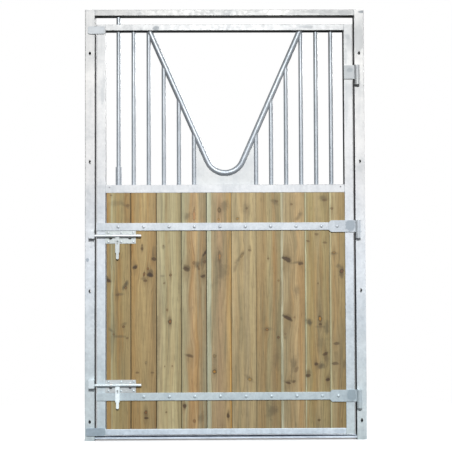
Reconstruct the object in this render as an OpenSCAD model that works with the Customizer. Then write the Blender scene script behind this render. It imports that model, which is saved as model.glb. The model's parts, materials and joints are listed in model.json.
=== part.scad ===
// Stable gate: a galvanised steel door leaf with a barred V opening over tongued boards,
// hung on three pin hinges in its own tube frame, and held by two sliding bolts and a
// vertical lock rod. Seen from the front, the hinges are on the right.
//
// Origin: back face of the hinge post, on the post's centre line, at ground level.
// +X runs to the right, +Z up, and the front of the gate looks along -Y.

/* [Outer frame] */
// Overall width over both posts
frame_w = 1400; // [1200:10:1800]
// Overall height
frame_h = 2150; // [1950:10:2600]
// Side of the square posts, and depth of the whole frame
post_w = 50; // [40:5:70]
// Wall of the post tube
post_wall = 3; // [2:0.5:5]
// Height of the head rail
head_h = 30; // [25:5:60]
// Thickness of the flat sill bar
sill_t = 8; // [5:1:12]
// Gap between the ground and the sill bar
sill_rise = 9; // [0:1:15]
// Diameter of the fixing holes through the posts
fix_hole_d = 12; // [8:1:16]
// Height of the lowest fixing hole
fix_low_z = 95; // [60:5:150]
// Height of the second fixing hole
fix_second_z = 740; // [500:5:900]
// Height of the third fixing hole
fix_third_z = 1385; // [1100:5:1500]
// Distance of the highest fixing hole below the top
fix_top_drop = 220; // [100:5:400]

/* [Leaf] */
// Gap between the leaf and each post
leaf_gap = 8; // [6:0.5:12]
// How far the leaf's front stands proud of the frame's front
leaf_proud = 1; // [1:0.5:3]
// Gap between the leaf and the head rail
head_gap = 45; // [20:1:60]
// Gap between the leaf and the sill bar
foot_gap = 11; // [8:1:30]
// Depth of the leaf's tubes
leaf_d = 50; // [40:5:60]
// Wall of the leaf's tubes
leaf_wall = 2.5; // [2:0.5:4]
// Front width of the two stiles
stile_w = 45; // [35:5:60]
// Height of the top and bottom rails
rail_h = 30; // [25:5:50]
// Height of the rail over the boards
mid_rail_h = 40; // [30:5:60]
// Height of that rail's upper face above the ground
mid_rail_top = 1269; // [1100:1:1400]
// Diameter of the zinc vent holes in that rail
vent_d = 6; // [4:1:8]
// Thickness of the boards
board_t = 30; // [20:1:40]
// How far the boards lie behind the leaf's front
board_recess = 1.5; // [0.5:0.5:5]

/* [Grille] */
// Outer diameter of the round bars
bar_d = 21.3; // [16:0.1:26]
// Wall of the round bars
bar_wall = 2.3; // [1.5:0.1:3]
// Distance of the innermost bars from the leaf's middle
inner_bar_x = 156; // [130:1:180]
// Spacing of the bars
bar_pitch = 75.6; // [60:0.1:80]
// Outer diameter of the V tube
v_d = 30; // [25:0.5:35]
// Wall of the V tube
v_wall = 2.6; // [2:0.1:4]
// Half width of the V at the top rail, on the tube's centre line
v_half_w = 378; // [300:1:420]
// Height of the V tube's lowest centre line point over the rail
v_rise = 61; // [40:1:120]
// Bend radius of the V tube, on its centre line
v_bend_r = 95; // [70:1:130]
// Thickness of the sheet under the V
gusset_t = 3; // [2:0.5:5]

/* [Lock rod] */
// Outer diameter of the guide sleeve
sleeve_d = 30; // [28:0.5:36]
// Length of the guide sleeve
sleeve_h = 91; // [70:1:120]
// Running clearance all round the rod
rod_clear = 0.6; // [0.4:0.1:1]
// Gap between the rod's tip and the head rail at rest
rod_tip_gap = 3; // [2:0.5:5]
// How far the rod's foot stands above the rail at rest
rod_foot_rise = 51; // [45:1:65]

/* [Hinges] */
// Heights of the lower and middle hinges above the ground
lower_hinge_z = 218; // [180:1:300]
middle_hinge_z = 1060; // [950:1:1100]
// Distance of the top hinge below the leaf's top
top_hinge_drop = 243; // [120:1:300]
// Distance of the hinge axis outside the post's inner face
hinge_out = 12; // [10:0.5:20]
// Diameter of the hinge pins
pin_d = 14; // [10:1:16]
// Outer diameter of the eyes and of the pin bosses
eye_d = 25; // [22:0.5:30]
// Height of the eyes and of the hinge plates
eye_h = 58; // [45:1:70]
// Height of the top eye and of its plate
top_eye_h = 68; // [45:1:80]
// Height of the pin bosses
boss_h = 30; // [20:1:40]
// Running clearance between eye and pin, all round
pin_clear = 0.1; // [0.05:0.05:0.1]
// Gap between eye and boss
eye_seat = 0.3; // [0.2:0.1:0.5]
// Thickness of the hinge plates
plate_t = 6; // [4:0.5:8]
// Length of the two long hinge plates, from the leaf's edge
plate_reach = 127; // [90:1:200]
// Chamfer at the long plates' ends
plate_chamfer = 12; // [6:1:18]
// Height of the straps
strap_h = 38; // [30:1:50]
// Thickness of the straps
strap_t = 5; // [4:0.5:6]

/* [Stops] */
// Height of the stop plates
stop_h = 39; // [30:1:50]
// Corner radius of the stop plates
stop_r = 8; // [4:1:14]
// Overlap of the upper and lower stop plates on the latch post
top_stop_lap = 35; // [20:1:40]
bottom_stop_lap = 43; // [20:1:46]
// Middle of the upper stop plate below the leaf's top
top_stop_drop = 29; // [22:1:60]
// Middle of the lower stop plate above the leaf's foot
bottom_stop_rise = 17; // [14:1:60]

/* [Bolts] */
// Diameter of the bolt bars
bolt_d = 14; // [12:1:16]
// Length of the bolt bars
bolt_len = 230; // [200:1:300]
// Distance of the bolt's axis in front of its plate
bolt_out = 10; // [9:0.5:14]
// Height of the bolt's axis over the middle of its plate
bolt_offset = 7; // [0:1:10]
// Gap between the bolt's tip and its keeper at rest
bolt_tip_gap = 1.5; // [1:0.5:3]
// Size of the bolt plates
bolt_plate_w = 151; // [130:1:180]
bolt_plate_h = 63; // [56:1:80]
bolt_plate_t = 3; // [2:0.5:5]
// Gap between a bolt plate and the strap beside it
bolt_plate_gap = 1; // [0.5:0.5:3]
// Distance of the two guides from the plate's ends
guide_in = 29; // [20:1:35]
// Width and thickness of the guides
guide_w = 10; // [8:1:14]
guide_t = 3; // [2:0.5:4]
// Running clearance round the bolt in its guides
guide_clear = 0.6; // [0.4:0.1:1]
// How far the bolt is thrown from rest
bolt_throw = 14; // [10:1:16]
// Gap between the handle and the guides at the ends of the stroke
handle_gap = 2; // [1.5:0.5:4]

/* [Handles] */
// Width, thickness and length of the flat part
handle_w = 21; // [18:0.5:24]
handle_t = 4; // [3:0.5:5]
handle_flat = 84; // [60:1:100]
// Width and length of the grip below it
grip_w = 14; // [10:0.5:16]
grip_len = 33; // [25:1:50]
// Slot for a padlock
slot_w = 8; // [6:0.5:10]
slot_len = 18; // [12:1:24]
// Middle of the slot below the bolt's axis
slot_drop = 33; // [28:1:45]
// Gap between the handle's head and the round bar
head_clear = 0.3; // [0.2:0.1:0.5]
// How far the low staples stand out of the bolt plate
staple_out = 4; // [2:0.5:5]

/* [Keepers] */
// Width along the bolt
keeper_w = 28; // [20:1:34]
// Height of the keeper
keeper_h = 41; // [34:1:50]
// Depth in front of the post
keeper_out = 28; // [26:1:34]
// Thickness of its bent flat bar
keeper_t = 4; // [3:0.5:5]
// Clearance between the bolt and the keeper's lower leg
keeper_clear = 2.7; // [1.5:0.1:4]

/* [Hidden] */
$fn = 48;
through = 1;

// Frame
mid_x = -(frame_w - post_w) / 2;
clear_w = frame_w - 2 * post_w;
front_y = -post_w;
head_z = frame_h - head_h;
sill_top = sill_rise + sill_t;
fix_hole_z = [fix_low_z, fix_second_z, fix_third_z, frame_h - fix_top_drop];

// Leaf
leaf_w = clear_w - 2 * leaf_gap;
leaf_front = front_y - leaf_proud;
leaf_mid_y = leaf_front + leaf_d / 2;
leaf_foot = sill_top + foot_gap;
leaf_top = head_z - head_gap;
rail_len = leaf_w - 2 * stile_w;
top_rail_z = leaf_top - rail_h;
infill_foot = leaf_foot + rail_h;
infill_top = mid_rail_top - mid_rail_h;
board_front = leaf_front + board_recess;
vent_inset = 20;

// V tube: centre of its bend, slope of its arms, where bend and arms meet, and how far bending
// draws the tube in
v_centre_z = mid_rail_top + v_rise + v_bend_r;
v_top_drop = top_rail_z - v_centre_z;
v_slope = atan2(v_half_w, v_top_drop) - asin(v_bend_r / norm([v_half_w, v_top_drop]));
v_meet_x = v_bend_r * cos(v_slope);
v_meet_z = v_centre_z - v_bend_r * sin(v_slope);
v_arm = (top_rail_z - v_meet_z) / cos(v_slope);
v_draw = 0.2;

// Grille
function bar_x(place) = inner_bar_x + (place - 1) * bar_pitch;
function v_height(x) = v_meet_z + (x - v_meet_x) / tan(v_slope);
rod_x = mid_x - bar_x(6);
rod_hole_d = bar_d + 2 * rod_clear;

// Hinges
axis_x = -post_w / 2 + hinge_out;
axis_y = leaf_front - eye_d / 2;
top_hinge_z = leaf_top - top_hinge_drop;
leaf_right = mid_x + leaf_w / 2;
leaf_left = mid_x - leaf_w / 2;
plate_end_x = leaf_right - plate_reach;

// Bolts
bolt_axis_y = board_front - bolt_plate_t - bolt_out;
upper_plate_z = middle_hinge_z - strap_h / 2 - bolt_plate_gap - bolt_plate_h;
lower_plate_z = lower_hinge_z + strap_h / 2 + bolt_plate_gap;
upper_bolt_z = upper_plate_z + bolt_plate_h / 2 + bolt_offset;
lower_bolt_z = lower_plate_z + bolt_plate_h / 2 + bolt_offset;
bolt_plate_x = leaf_left + stile_w;
latch_inner_x = mid_x - clear_w / 2;
bolt_tip_x = latch_inner_x + bolt_tip_gap;
first_guide_x = bolt_plate_x + guide_in;
handle_x = first_guide_x + guide_w / 2 + handle_gap + handle_w / 2 + bolt_throw;
last_guide_x = bolt_plate_x + bolt_plate_w - guide_in;

// A straight rectangular tube along X, Y or Z, open at both ends
module tube_x(len, depth, height, wall) {
    difference() {
        cube([len, depth, height]);
        translate([-through, wall, wall])
            cube([len + 2 * through, depth - 2 * wall, height - 2 * wall]);
    }
}

module tube_z(width, depth, len, wall) {
    difference() {
        cube([width, depth, len]);
        translate([wall, wall, -through])
            cube([width - 2 * wall, depth - 2 * wall, len + 2 * through]);
    }
}

// A round tube along Z
module round_tube(len, outer_d, wall) {
    difference() {
        cylinder(h = len, d = outer_d);
        translate([0, 0, -through])
            cylinder(h = len + 2 * through, d = outer_d - 2 * wall);
    }
}

// A post: a square tube closed at both ends, drilled through front to back
module post() {
    color("gainsboro") difference() {
        translate([-post_w / 2, -post_w, 0]) cube([post_w, post_w, frame_h]);
        translate([-post_w / 2 + post_wall, -post_w + post_wall, post_wall])
            cube([post_w - 2 * post_wall, post_w - 2 * post_wall, frame_h - 2 * post_wall]);
        for (z = fix_hole_z)
            translate([0, through, z]) rotate([90, 0, 0])
                cylinder(h = post_w + 2 * through, d = fix_hole_d);
    }
}

module hinge_post() {
    post();
}

module latch_post() {
    translate([2 * mid_x, 0, 0]) post();
}

// Tube between the posts, with a hole underneath for the lock rod
module head_rail() {
    color("gainsboro") difference() {
        translate([mid_x - clear_w / 2, -post_w, head_z])
            tube_x(clear_w, post_w, head_h, post_wall);
        translate([rod_x, leaf_mid_y, head_z - through])
            cylinder(h = post_wall + 2 * through, d = rod_hole_d);
    }
}

module sill_bar() {
    color("silver")
        translate([mid_x - clear_w / 2, -post_w, sill_rise]) cube([clear_w, post_w, sill_t]);
}

// Hinge pin: a boss welded to the post's front, with the pin standing on it
module hinge_pin(eye_mid_z, height = eye_h) {
    boss_top = eye_mid_z - height / 2 - eye_seat;
    weld_w = eye_d / 2;
    color("silver") translate([axis_x, axis_y, boss_top - boss_h]) {
        cylinder(h = boss_h, d = eye_d);
        cylinder(h = boss_h + eye_seat + height, d = pin_d);
        translate([-weld_w / 2, 0, 0]) cube([weld_w, front_y - axis_y, boss_h]);
    }
}

module lower_hinge_pin() {
    hinge_pin(lower_hinge_z);
}

module middle_hinge_pin() {
    hinge_pin(middle_hinge_z);
}

module top_hinge_pin() {
    hinge_pin(top_hinge_z, top_eye_h);
}

// Keeper: a flat bar bent three times and welded to the latch post's front
module keeper(bolt_z) {
    foot_z = bolt_z - bolt_d / 2 - keeper_clear - keeper_t;
    color("gainsboro") translate([latch_inner_x - keeper_w, front_y - keeper_out, foot_z])
        difference() {
            cube([keeper_w, keeper_out, keeper_h]);
            translate([-through, keeper_t, keeper_t])
                cube([keeper_w + 2 * through, keeper_out, keeper_h - 2 * keeper_t]);
        }
}

module upper_keeper() {
    keeper(upper_bolt_z);
}

module lower_keeper() {
    keeper(lower_bolt_z);
}

// Leaf frame
module stile(x) {
    color("gainsboro") translate([x, leaf_front, leaf_foot])
        tube_z(stile_w, leaf_d, leaf_top - leaf_foot, leaf_wall);
}

module latch_stile() {
    stile(leaf_left);
}

module hinge_stile() {
    stile(leaf_right - stile_w);
}

module leaf_rail(z, height) {
    translate([leaf_left + stile_w, leaf_front, z]) tube_x(rail_len, leaf_d, height, leaf_wall);
}

// The lock rod passes right through the top rail
module top_rail() {
    color("gainsboro") difference() {
        leaf_rail(top_rail_z, rail_h);
        translate([rod_x, leaf_mid_y, top_rail_z - through])
            cylinder(h = rail_h + 2 * through, d = rod_hole_d);
    }
}

module mid_rail() {
    color("gainsboro") difference() {
        leaf_rail(infill_top, mid_rail_h);
        for (side = [-1, 1])
            translate([mid_x + side * (rail_len / 2 - vent_inset), leaf_front + leaf_wall + through,
                infill_top + mid_rail_h * 0.7])
                rotate([90, 0, 0]) cylinder(h = leaf_wall + 2 * through, d = vent_d);
    }
}

module bottom_rail() {
    color("silver") leaf_rail(leaf_foot, rail_h);
}

// V tube: one tube bent in its middle. The bend is a hair thinner than the two arms, as bending
// draws it, and the arms run a hair into it.
module v_arm_core(side, outer_d) {
    translate([side * v_meet_x, 0, v_meet_z]) rotate([0, side * v_slope, 0])
        translate([0, 0, -v_draw]) cylinder(h = v_arm + v_d, d = outer_d);
}

module v_core(outer_d) {
    for (side = [-1, 1]) v_arm_core(side, outer_d);
    translate([0, 0, v_centre_z]) rotate([90, 0, 0]) rotate([0, 0, 180 + v_slope])
        rotate_extrude(angle = 180 - 2 * v_slope)
            translate([v_bend_r, 0]) circle(d = outer_d - 2 * v_draw);
}

module v_tube() {
    color("lightgray") translate([mid_x, leaf_mid_y, 0]) difference() {
        v_core(v_d);
        v_core(v_d - 2 * v_wall);
        translate([-clear_w / 2, -leaf_d, top_rail_z]) cube([clear_w, 2 * leaf_d, head_gap + rail_h]);
    }
}

// A grille bar stands on the middle rail and ends at the top rail, or is coped to the V tube
module bar(side, place) {
    x = bar_x(place);
    top_z = min(top_rail_z, v_height(x));
    color("lightgray") translate([mid_x, leaf_mid_y, 0]) difference() {
        translate([side * x, 0, mid_rail_top]) round_tube(top_z - mid_rail_top, bar_d, bar_wall);
        v_arm_core(side, v_d);
    }
}

// The sheet fills the space between the two inner bars, under the V tube
module gusset_sheet() {
    half = inner_bar_x - bar_d / 2;
    reach = v_bend_r + v_d / 2;
    lift = v_height(half) - mid_rail_top;
    foot = [reach * cos(v_slope), v_centre_z - reach * sin(v_slope)];
    head = foot + lift * [tan(v_slope), 1];
    color("lightsteelblue") translate([mid_x, leaf_mid_y + gusset_t / 2, 0]) rotate([90, 0, 0])
        linear_extrude(gusset_t) difference() {
            translate([-half, mid_rail_top]) square([2 * half, lift]);
            translate([0, v_centre_z]) circle(r = reach);
            polygon([[-foot[0], foot[1]], foot, head, [-head[0], head[1]]]);
        }
}

// Guide sleeve of the lock rod, standing on the middle rail
module rod_sleeve() {
    color("silver") translate([rod_x, leaf_mid_y, mid_rail_top])
        round_tube(sleeve_h, sleeve_d, (sleeve_d - rod_hole_d) / 2);
}

module timber_infill() {
    color("tan") translate([leaf_left + stile_w, board_front, infill_foot])
        cube([rail_len, board_t, infill_top - infill_foot]);
}

// Straps across the boards, butted to the long hinge plates
module strap(z) {
    color("lightsteelblue") translate([leaf_left, leaf_front - strap_t, z - strap_h / 2])
        cube([plate_end_x - leaf_left, strap_t, strap_h]);
}

module upper_strap() {
    strap(middle_hinge_z);
}

module lower_strap() {
    strap(lower_hinge_z);
}

// Hinge plate with its rolled eye
module hinge_leaf(z, reach, chamfer, height = eye_h) {
    color("silver") translate([axis_x, leaf_front, z - height / 2]) difference() {
        union() {
            translate([leaf_right - reach - axis_x, -plate_t, 0]) rotate([90, 0, 0])
                mirror([0, 0, 1]) linear_extrude(plate_t)
                    polygon([
                        [0, chamfer], [chamfer, 0], [axis_x - leaf_right + reach, 0],
                        [axis_x - leaf_right + reach, height], [chamfer, height], [0, height - chamfer]
                    ]);
            translate([0, -eye_d / 2, 0]) cylinder(h = height, d = eye_d);
        }
        translate([0, -eye_d / 2, -through])
            cylinder(h = height + 2 * through, d = pin_d + 2 * pin_clear);
    }
}

module lower_hinge_plate() {
    hinge_leaf(lower_hinge_z, plate_reach, plate_chamfer);
}

module middle_hinge_plate() {
    hinge_leaf(middle_hinge_z, plate_reach, plate_chamfer);
}

module top_hinge_plate() {
    hinge_leaf(top_hinge_z, stile_w, 1, top_eye_h);
}

// Stop plates welded to the leaf, which close against the latch post's front
module stop_plate(z, lap) {
    long = leaf_gap + lap + stile_w - 3;
    color("silver") translate([latch_inner_x - lap, leaf_front, z - stop_h / 2]) rotate([90, 0, 0])
        linear_extrude(strap_t) union() {
            translate([stop_r, 0]) square([long - 2 * stop_r, stop_h]);
            translate([0, stop_r]) square([long, stop_h - 2 * stop_r]);
            for (x = [stop_r, long - stop_r], y = [stop_r, stop_h - stop_r])
                translate([x, y]) circle(r = stop_r);
        }
}

module upper_stop_plate() {
    stop_plate(leaf_top - top_stop_drop, top_stop_lap);
}

module lower_stop_plate() {
    stop_plate(leaf_foot + bottom_stop_rise, bottom_stop_lap);
}

// Bolt plate with two bent guides over the bar, and two low staples that the slot drops over
module bolt_plate(z) {
    guide_r = bolt_d / 2 + guide_clear;
    axis_z = bolt_plate_h / 2 + bolt_offset;
    staple_w = slot_w / 2;
    staple_h = slot_len / 2;
    color("gainsboro") translate([bolt_plate_x, board_front, z]) {
        translate([0, -bolt_plate_t, 0]) cube([bolt_plate_w, bolt_plate_t, bolt_plate_h]);
        for (x = [guide_in, bolt_plate_w - guide_in])
            translate([x - guide_w / 2, -bolt_plate_t, axis_z]) rotate([90, 0, 90])
                linear_extrude(guide_w) difference() {
                    union() {
                        translate([-bolt_out, 0]) circle(r = guide_r + guide_t);
                        translate([-bolt_out, -guide_r - guide_t])
                            square([bolt_out, 2 * (guide_r + guide_t)]);
                    }
                    translate([-bolt_out, 0]) circle(r = guide_r);
                    translate([-bolt_out, -guide_r]) square([bolt_out, 2 * guide_r]);
                }
        for (x = [guide_in + guide_w / 2 + handle_gap + handle_w / 2,
                bolt_plate_w - guide_in - guide_w / 2 - handle_gap - handle_w / 2])
            translate([x - staple_w / 2, -bolt_plate_t - staple_out, axis_z - slot_drop - staple_h / 2])
                cube([staple_w, staple_out, staple_h]);
    }
}

module upper_bolt_plate() {
    bolt_plate(upper_plate_z);
}

module lower_bolt_plate() {
    bolt_plate(lower_plate_z);
}

// Bolt bar, at rest just clear of its keeper
module bolt_bar(z) {
    color("whitesmoke") translate([bolt_tip_x, bolt_axis_y, z]) rotate([0, 90, 0])
        cylinder(h = bolt_len, d = bolt_d);
}

module upper_bolt_bar() {
    bolt_bar(upper_bolt_z);
}

module lower_bolt_bar() {
    bolt_bar(lower_bolt_z);
}

// Flat handle that hangs from the bar, with a padlock slot and a narrow grip
module bolt_handle(z) {
    color("whitesmoke") translate([handle_x, bolt_axis_y + handle_t / 2, z]) difference() {
        rotate([90, 0, 0]) linear_extrude(handle_t) difference() {
            union() {
                translate([-handle_w / 2, -handle_flat]) square([handle_w, handle_flat]);
                translate([-grip_w / 2, -handle_flat - grip_len + grip_w / 2])
                    square([grip_w, grip_len]);
                translate([0, -handle_flat - grip_len + grip_w / 2]) circle(d = grip_w);
            }
            translate([-slot_w / 2, -slot_drop - slot_len / 2 + slot_w / 2])
                square([slot_w, slot_len - slot_w]);
            for (end = [-1, 1])
                translate([0, -slot_drop + end * (slot_len - slot_w) / 2]) circle(d = slot_w);
        }
        translate([-handle_w, -handle_t / 2, 0]) rotate([0, 90, 0])
            cylinder(h = 2 * handle_w, d = bolt_d + 2 * head_clear);
    }
}

module upper_bolt_handle() {
    bolt_handle(upper_bolt_z);
}

module lower_bolt_handle() {
    bolt_handle(lower_bolt_z);
}

// Lock rod: a grille bar that slides in the sleeve and up into the head rail
module lock_rod() {
    foot_z = mid_rail_top + rod_foot_rise;
    color("lightgray") translate([rod_x, leaf_mid_y, foot_z])
        round_tube(head_z - rod_tip_gap - foot_z, bar_d, bar_wall);
}

latch_post();
hinge_post();
head_rail();
sill_bar();
lower_hinge_pin();
middle_hinge_pin();
top_hinge_pin();
upper_keeper();
lower_keeper();
latch_stile();
hinge_stile();
top_rail();
mid_rail();
bottom_rail();
v_tube();
bar(-1, 1);  // left_bar_1
bar(-1, 2);  // left_bar_2
bar(-1, 3);  // left_bar_3
bar(-1, 4);  // left_bar_4
bar(-1, 5);  // left_bar_5
bar(1, 1);  // right_bar_1
bar(1, 2);  // right_bar_2
bar(1, 3);  // right_bar_3
bar(1, 4);  // right_bar_4
bar(1, 5);  // right_bar_5
bar(1, 6);  // right_bar_6
gusset_sheet();
rod_sleeve();
timber_infill();
upper_strap();
lower_strap();
lower_hinge_plate();
middle_hinge_plate();
top_hinge_plate();
upper_stop_plate();
lower_stop_plate();
upper_bolt_plate();
lower_bolt_plate();
upper_bolt_bar();
lower_bolt_bar();
upper_bolt_handle();
lower_bolt_handle();
lock_rod();
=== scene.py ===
import math
import json
import random
import bmesh
import bpy
from mathutils import Matrix, Vector

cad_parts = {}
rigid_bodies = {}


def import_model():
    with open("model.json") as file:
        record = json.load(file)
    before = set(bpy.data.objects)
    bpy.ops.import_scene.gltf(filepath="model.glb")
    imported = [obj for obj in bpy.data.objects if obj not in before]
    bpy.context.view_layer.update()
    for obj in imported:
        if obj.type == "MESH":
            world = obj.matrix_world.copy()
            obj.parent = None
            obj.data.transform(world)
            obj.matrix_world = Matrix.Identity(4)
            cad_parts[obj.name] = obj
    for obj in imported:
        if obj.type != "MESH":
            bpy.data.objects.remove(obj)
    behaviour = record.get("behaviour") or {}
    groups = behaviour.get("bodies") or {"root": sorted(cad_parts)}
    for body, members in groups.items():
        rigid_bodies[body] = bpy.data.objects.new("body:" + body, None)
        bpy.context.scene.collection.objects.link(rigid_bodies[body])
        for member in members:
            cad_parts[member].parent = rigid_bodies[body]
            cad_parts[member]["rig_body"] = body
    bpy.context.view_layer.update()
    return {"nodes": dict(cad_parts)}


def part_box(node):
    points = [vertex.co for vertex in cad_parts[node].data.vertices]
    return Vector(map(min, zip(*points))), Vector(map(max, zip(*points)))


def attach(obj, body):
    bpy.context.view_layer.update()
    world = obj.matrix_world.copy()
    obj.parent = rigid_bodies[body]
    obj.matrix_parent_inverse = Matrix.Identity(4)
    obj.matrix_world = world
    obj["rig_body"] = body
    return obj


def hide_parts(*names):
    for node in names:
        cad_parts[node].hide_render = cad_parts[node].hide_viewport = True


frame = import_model()

# Studio: a plain pale floor under the gate and a plain white surround, with soft light from
# the front, the sides and above. The quarter behind the gate is left dim, as in an open
# doorway, so that edges seen at a slant stay dark.


def colour(code):
    """An sRGB hex colour as linear RGBA."""
    parts = [int(code[i:i + 2], 16) / 255 for i in (0, 2, 4)]
    linear = [c / 12.92 if c <= 0.04045 else ((c + 0.055) / 1.055) ** 2.4 for c in parts]
    return (*linear, 1.0)


def add(tree, kind, settings, inputs):
    """Adds one node, sets it up, and links or sets its inputs. Gives its outputs."""
    made = tree.nodes.new(kind)
    for name, value in settings.items():
        if name == "stops":
            ramp = made.color_ramp.elements
            while len(ramp) < len(value):
                ramp.new(0.5)
            for element, (place, tone) in zip(ramp, value):
                element.position = place
                element.color = tone
        else:
            setattr(made, name, value)
    for name, value in inputs.items():
        if isinstance(value, bpy.types.NodeSocket):
            tree.links.new(value, made.inputs[name])
        else:
            made.inputs[name].default_value = value
    return made.outputs


def placed(name, shape):
    """A finished bmesh as a mesh object in the scene."""
    data = bpy.data.meshes.new(name)
    shape.to_mesh(data)
    shape.free()
    piece = bpy.data.objects.new(name, data)
    bpy.context.scene.collection.objects.link(piece)
    return piece


camera_data = bpy.data.cameras.new("camera")
camera_data.lens = 69.776
camera_data.sensor_width = 36.0
camera = bpy.data.objects.new("camera", camera_data)
camera.location = (-0.71362, -4.41921, 0.94166)
camera.rotation_euler = (math.pi / 2 + 0.027663, 0.003843, -0.009509)
bpy.context.scene.collection.objects.link(camera)
bpy.context.scene.camera = camera
bpy.context.scene.view_settings.view_transform = "Standard"

world = bpy.data.worlds.new("surround")
world.use_nodes = True
world.node_tree.nodes.clear()
sky = world.node_tree
direction = add(sky, "ShaderNodeTexCoord", {}, {})["Generated"]
facing = add(sky, "ShaderNodeVectorMath", {"operation": "DOT_PRODUCT"},
             {0: direction, 1: (0.50, -0.85, 0.15)})["Value"]
spread = add(sky, "ShaderNodeMapRange", {},
             {"Value": facing, "From Min": -1.0, "From Max": 1.0})["Result"]
DOORWAY = (0.040, 0.044, 0.050, 1)
glow = add(sky, "ShaderNodeValToRGB", {"stops": [
    (0.00, DOORWAY),
    (0.30, DOORWAY),
    (0.60, (0.060, 0.066, 0.075, 1)),
    (0.78, (0.55, 0.58, 0.63, 1)),
    (1.00, (1.12, 1.12, 1.12, 1))]}, {"Fac": spread})["Color"]
upward = add(sky, "ShaderNodeSeparateXYZ", {}, {0: direction})["Z"]
strength = add(sky, "ShaderNodeMapRange", {"interpolation_type": "SMOOTHSTEP"},
               {"Value": upward, "From Min": -0.50, "From Max": -0.02,
                "To Min": 0.01, "To Max": 0.62})["Result"]
lit = add(sky, "ShaderNodeBackground", {}, {"Color": glow, "Strength": strength})["Background"]
plain = add(sky, "ShaderNodeBackground", {}, {"Color": (1, 1, 1, 1), "Strength": 1.0})["Background"]
seen = add(sky, "ShaderNodeLightPath", {}, {})["Is Camera Ray"]
either = add(sky, "ShaderNodeMixShader", {}, {0: seen, 1: lit, 2: plain})[0]
add(sky, "ShaderNodeOutputWorld", {}, {"Surface": either})
bpy.context.scene.world = world

for name, place, aim, size, power in (
        ("key_softbox", (-0.52, -5.6, 4.0), (-0.7, 0.0, 1.0), 0.35, 440.0),
        ("side_softbox", (3.4, 0.1, 1.3), (-0.7, 0.0, 1.2), 1.2, 48.0),
        ("left_softbox", (-4.8, 0.5, 1.5), (-0.7, 0.0, 1.1), 1.2, 60.0),
        ("back_softbox", (1.9, 3.6, 3.4), (-0.7, 0.0, 1.0), 1.8, 300.0)):
    lamp = bpy.data.lights.new(name, "AREA")
    lamp.shape = "SQUARE"
    lamp.size = size
    lamp.energy = power
    softbox = bpy.data.objects.new(name, lamp)
    softbox.location = place
    softbox.rotation_euler = (Vector(aim) - Vector(place)).to_track_quat("-Z", "Y").to_euler()
    softbox.visible_camera = False
    bpy.context.scene.collection.objects.link(softbox)

FLOOR_CENTRE = (-0.675, -0.9, 0.0)
disc = bmesh.new()
bmesh.ops.create_circle(disc, cap_ends=True, segments=96, radius=2.6,
                        matrix=Matrix.Translation(FLOOR_CENTRE))
floor = placed("floor", disc)
# Painted plywood, matt, fading into the white surround at its rim
paint = bpy.data.materials.new("floor_paint")
paint.use_nodes = True
paint.node_tree.nodes.clear()
tree = paint.node_tree
spot = add(tree, "ShaderNodeTexCoord", {}, {})["Object"]
away = add(tree, "ShaderNodeVectorMath", {"operation": "DISTANCE"}, {0: spot, 1: FLOOR_CENTRE})["Value"]
rim = add(tree, "ShaderNodeMapRange", {"interpolation_type": "SMOOTHSTEP"},
          {"Value": away, "From Min": 1.0, "From Max": 2.4})["Result"]
matt = add(tree, "ShaderNodeBsdfPrincipled", {},
           {"Base Color": colour("F4F4F4"), "Roughness": 0.75,
            "Emission Color": (1, 1, 1, 1), "Emission Strength": 0.22})["BSDF"]
clear = add(tree, "ShaderNodeBsdfTransparent", {}, {})[0]
faded = add(tree, "ShaderNodeMixShader", {}, {0: rim, 1: matt, 2: clear})[0]
add(tree, "ShaderNodeOutputMaterial", {}, {"Surface": faded})
floor.data.materials.append(paint)
floor.visible_glossy = False
floor.visible_diffuse = False

# Posts: 50 x 50 x 3 mm square steel tube, closed at both ends, drilled front to back for the
# wall fixings, welded to the head rail and hot-dip galvanised. The corners are rolled to a
# 3.5 mm radius, and the zinc is pale and faintly clouded, painted darker toward the top as shade
# against the lamp's highlight.
POST_CORNER = 0.0035
UPRIGHT = 2
# Two points closer than this are one
SAME_PLACE = 1e-6


def from_node(name, node, radius, steps, chosen):
    """A copy of a CAD node, its triangles merged into whole faces and its chosen edges rounded."""
    shape = bmesh.new()
    shape.from_mesh(frame["nodes"][node].data)
    bmesh.ops.remove_doubles(shape, verts=shape.verts, dist=SAME_PLACE)
    bmesh.ops.dissolve_limit(shape, angle_limit=math.radians(0.5), verts=shape.verts, edges=shape.edges)
    low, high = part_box(node)
    picked = [e for e in shape.edges if len(e.link_faces) == 2 and chosen(e, low, high)]
    bmesh.ops.bevel(shape, geom=picked, offset=radius, segments=steps, affect="EDGES",
                    profile=0.5, material=-1, clamp_overlap=True)
    piece = placed(name, shape)
    piece.data.shade_smooth()
    piece.data.set_sharp_from_angle(angle=math.radians(32))
    flat = piece.modifiers.new("flat faces", "WEIGHTED_NORMAL")
    flat.keep_sharp = True
    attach(piece, frame["nodes"][node]["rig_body"])
    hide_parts(node)
    return piece


def corners(axis):
    """Chooses a tube's four long outer edges along one axis."""
    others = [a for a in (0, 1, 2) if a != axis]

    def chosen(edge, low, high):
        a, b = (v.co for v in edge.verts)
        if any(abs(a[i] - b[i]) > SAME_PLACE for i in others):
            return False
        return all(min(abs(a[i] - low[i]), abs(a[i] - high[i])) < 1e-5 for i in others)

    return chosen


def coat(piece, material):
    """Gives a piece one material in place of any other."""
    piece.data.materials.clear()
    piece.data.materials.append(material)


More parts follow.
